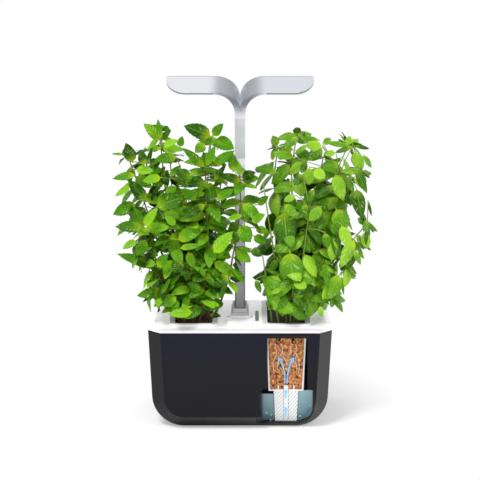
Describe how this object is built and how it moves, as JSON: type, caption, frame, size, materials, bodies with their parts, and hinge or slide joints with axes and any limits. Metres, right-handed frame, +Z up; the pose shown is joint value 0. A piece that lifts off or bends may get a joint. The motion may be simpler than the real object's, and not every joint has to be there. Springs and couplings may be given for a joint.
{
  "type": "countertop hydroponic garden",
  "caption": "Small countertop herb garden: bevelled water tank with a section window, lid with two lift-out plant cartridges, and a leaf shaped lamp on a sliding mast.",
  "frame": {"origin": "middle of the flat underside of the grip pad that the tank stands on", "axes": "+Z up, +X to the right seen from the front, +Y towards the back"},
  "size_m": [0.3109, 0.1397, 0.3985],
  "materials": {
    "gloss_black": "moulded gloss black",
    "window": "clear moulded pane",
    "grip": "soft grip pad",
    "gloss_white": "moulded gloss white",
    "pin_steel": "drawn pin",
    "satin_white": "satin white",
    "natural_white": "moulded white",
    "inlet_black": "moulded black",
    "button_grey": "moulded grey",
    "float_foam": "closed cell foam",
    "gauge_green": "moulded green",
    "lamp_aluminium": "satin anodised",
    "plug_grey": "moulded grey",
    "board_white": "white board",
    "chip_yellow": "phosphor",
    "diffuser": "frosted cover",
    "soil": "coir with perlite",
    "stand_white": "moulded white",
    "felt": "felt",
    "mint_stem": "living stem",
    "mint_leaf": "living leaf",
    "basil_stem": "living stem",
    "basil_leaf": "living leaf"
  },
  "bodies": {
    "base": {"reservoir": "gloss_black", "section_window": "window", "grip_pad": "grip"},
    "lid": {"lid": "gloss_white", "flap_pin": "pin_steel", "mast_socket": "satin_white", "mast_sleeve": "natural_white", "gauge_guide": "natural_white", "inlet_block": "satin_white", "power_inlet": "inlet_black"},
    "lamp": {"mast": "lamp_aluminium", "mast_plug": "plug_grey", "lamp_head": "lamp_aluminium", "led_board_left": "board_white", "led_board_right": "board_white", "led_chips_left": "chip_yellow", "led_chips_right": "chip_yellow", "light_cover_left": "diffuser", "light_cover_right": "diffuser"},
    "flap": {"filler_flap": "gloss_white"},
    "float": {"float_body": "float_foam", "gauge_blade": "gauge_green"},
    "button": {"power_button": "button_grey"},
    "cartridge_left": {"pot_left": "natural_white", "soil_left": "soil", "wick_stand_left": "stand_white", "wick_felt_left": "felt", "mint_stems": "mint_stem", "mint_leaves": "mint_leaf"},
    "cartridge_right": {"pot_right": "natural_white", "soil_right": "soil", "wick_stand_right": "stand_white", "wick_felt_right": "felt", "basil_stems": "basil_stem", "basil_leaves": "basil_leaf"}
  },
  "joints": [
    {"name": "lid_lift", "type": "slide", "parent": "base", "child": "lid", "axis": [0, 0, 1], "range_m": [0, 0.12]},
    {"name": "lamp_height", "type": "slide", "parent": "lid", "child": "lamp", "axis": [0, 0, 1], "range_m": [-0.015, 0.03]},
    {"name": "filler_flap_hinge", "type": "hinge", "parent": "lid", "child": "flap", "pos_m": [0, -0.0237, 0.1251], "axis": [-1, 0, 0], "range_deg": [0, 85]},
    {"name": "float_rise", "type": "slide", "parent": "lid", "child": "float", "axis": [0, 0, 1], "range_m": [0, 0.028]},
    {"name": "power_button_press", "type": "slide", "parent": "lid", "child": "button", "axis": [0, 0, -1], "range_m": [0, 0.001], "stiffness_N_per_m": 400, "springref_m": -0.001},
    {"name": "cartridge_left_lift", "type": "slide", "parent": "lid", "child": "cartridge_left", "axis": [0, 0, 1], "range_m": [0, 0.02]},
    {"name": "cartridge_right_lift", "type": "slide", "parent": "lid", "child": "cartridge_right", "axis": [0, 0, 1], "range_m": [0, 0.02]}
  ]
}
